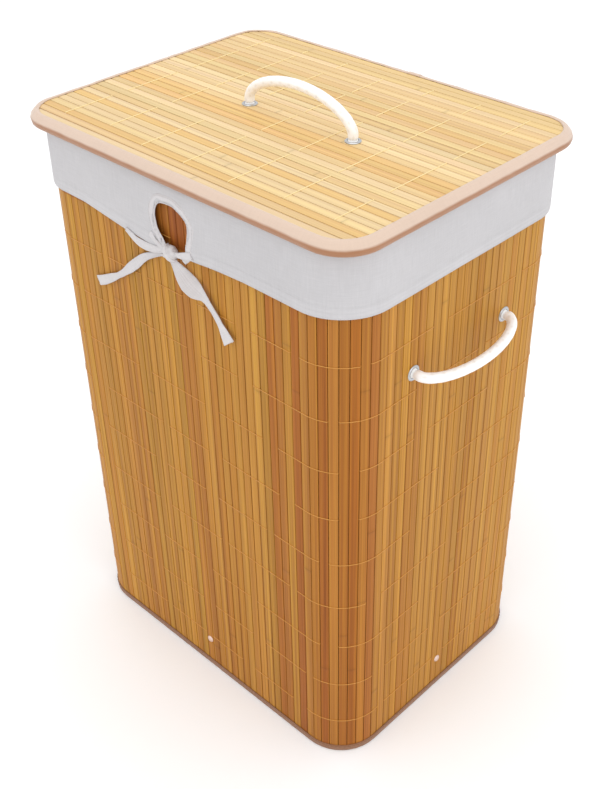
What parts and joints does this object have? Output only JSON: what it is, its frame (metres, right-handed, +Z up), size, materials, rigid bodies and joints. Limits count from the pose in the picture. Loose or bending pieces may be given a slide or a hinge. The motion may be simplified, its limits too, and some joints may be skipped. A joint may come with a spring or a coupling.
{
  "type": "laundry hamper with lid",
  "caption": "Tall bamboo-slat laundry hamper with rounded corners, a lift-off lid, a tied cotton liner and white rope handles.",
  "frame": {"origin": "middle of the footprint, on the floor", "axes": "+X to the right along the wide side, -Y to the front where the liner is tied, +Z up"},
  "size_m": [0.4588, 0.314, 0.6365],
  "materials": {
    "wall_bamboo": "clear satin lacquer, golden brown slats that vary",
    "lid_bamboo": "clear satin lacquer, pale honey slats",
    "base_bamboo": "clear satin lacquer",
    "backing_cloth": "plain woven cloth, glued",
    "wall_thread": "twisted thread",
    "lid_thread": "twisted thread",
    "frame_wire": "drawn steel wire",
    "dark_tape": "woven binding tape",
    "lid_tape": "satin binding tape",
    "tab_webbing": "woven webbing",
    "rivet_metal": "warm plated metal, domed",
    "washer_metal": "zinc plated",
    "eyelet_metal": "nickel plated, rolled",
    "base_fibreboard": "pressed fibreboard",
    "white_rope": "soft braided cotton, slightly glossy",
    "liner_cotton": "plain woven cotton",
    "cotton_tape": "soft cotton tape",
    "batten_wood": "planed bamboo strip"
  },
  "bodies": {
    "shell": {"front_slats": "wall_bamboo", "back_slats": "wall_bamboo", "right_slats": "wall_bamboo", "left_slats": "wall_bamboo", "corner_slats": "wall_bamboo", "wall_backing": "backing_cloth", "wall_threads": "wall_thread", "wall_seam_tape": "backing_cloth", "rim_wire": "frame_wire", "rim_binding": "dark_tape", "foot_wire": "frame_wire", "foot_binding": "dark_tape", "base_tabs": "tab_webbing", "tab_rivets": "rivet_metal", "tab_washers": "washer_metal", "hinge_wall_leg": "tab_webbing", "right_eyelets": "eyelet_metal", "left_eyelets": "eyelet_metal", "eyelet_washers": "washer_metal", "right_rope_ends": "white_rope", "left_rope_ends": "white_rope"},
    "base": {"base_slats": "base_bamboo", "base_board": "base_fibreboard", "base_binding": "dark_tape", "hinge_base_leg": "tab_webbing"},
    "liner": {"liner_bag": "liner_cotton", "liner_collar": "liner_cotton", "collar_hem": "liner_cotton", "keyhole_tape": "cotton_tape", "tie_loops": "cotton_tape", "tie_knot": "cotton_tape", "tie_tail_left": "cotton_tape", "tie_tail_right": "cotton_tape"},
    "lid": {"lid_slats": "lid_bamboo", "lid_threads": "lid_thread", "lid_backing": "backing_cloth", "lid_battens": "batten_wood", "lid_wire": "frame_wire", "lid_binding": "lid_tape", "lid_eyelets": "eyelet_metal", "lid_washers": "washer_metal", "lid_rope_ends": "white_rope"},
    "lid_handle": {"lid_rope_handle": "white_rope"},
    "right_handle": {"right_rope_handle": "white_rope"},
    "left_handle": {"left_rope_handle": "white_rope"}
  },
  "joints": [
    {"name": "base_fold", "type": "hinge", "parent": "shell", "child": "base", "pos_m": [0, 0.14, 0.0108], "axis": [-1, 0, 0], "range_deg": [0, 45], "deforming": ["liner_bag"]},
    {"name": "liner_lift", "type": "slide", "parent": "shell", "child": "liner", "axis": [0, 0, 1], "range_m": [0, 0.6]},
    {"name": "lid_lift", "type": "slide", "parent": "liner", "child": "lid", "axis": [0, 0, 1], "range_m": [0, 0.35]},
    {"name": "lid_handle_swing", "type": "hinge", "parent": "lid", "child": "lid_handle", "pos_m": [0.012, -0.005, 0.60495], "axis": [1, 0, 0], "range_deg": [-85, 85]},
    {"name": "right_handle_swing", "type": "hinge", "parent": "shell", "child": "right_handle", "pos_m": [0.20425, 0, 0.446], "axis": [0, -1, 0], "range_deg": [-72, 100]},
    {"name": "left_handle_swing", "type": "hinge", "parent": "shell", "child": "left_handle", "pos_m": [-0.20425, 0, 0.446], "axis": [0, 1, 0], "range_deg": [-72, 100]}
  ]
}
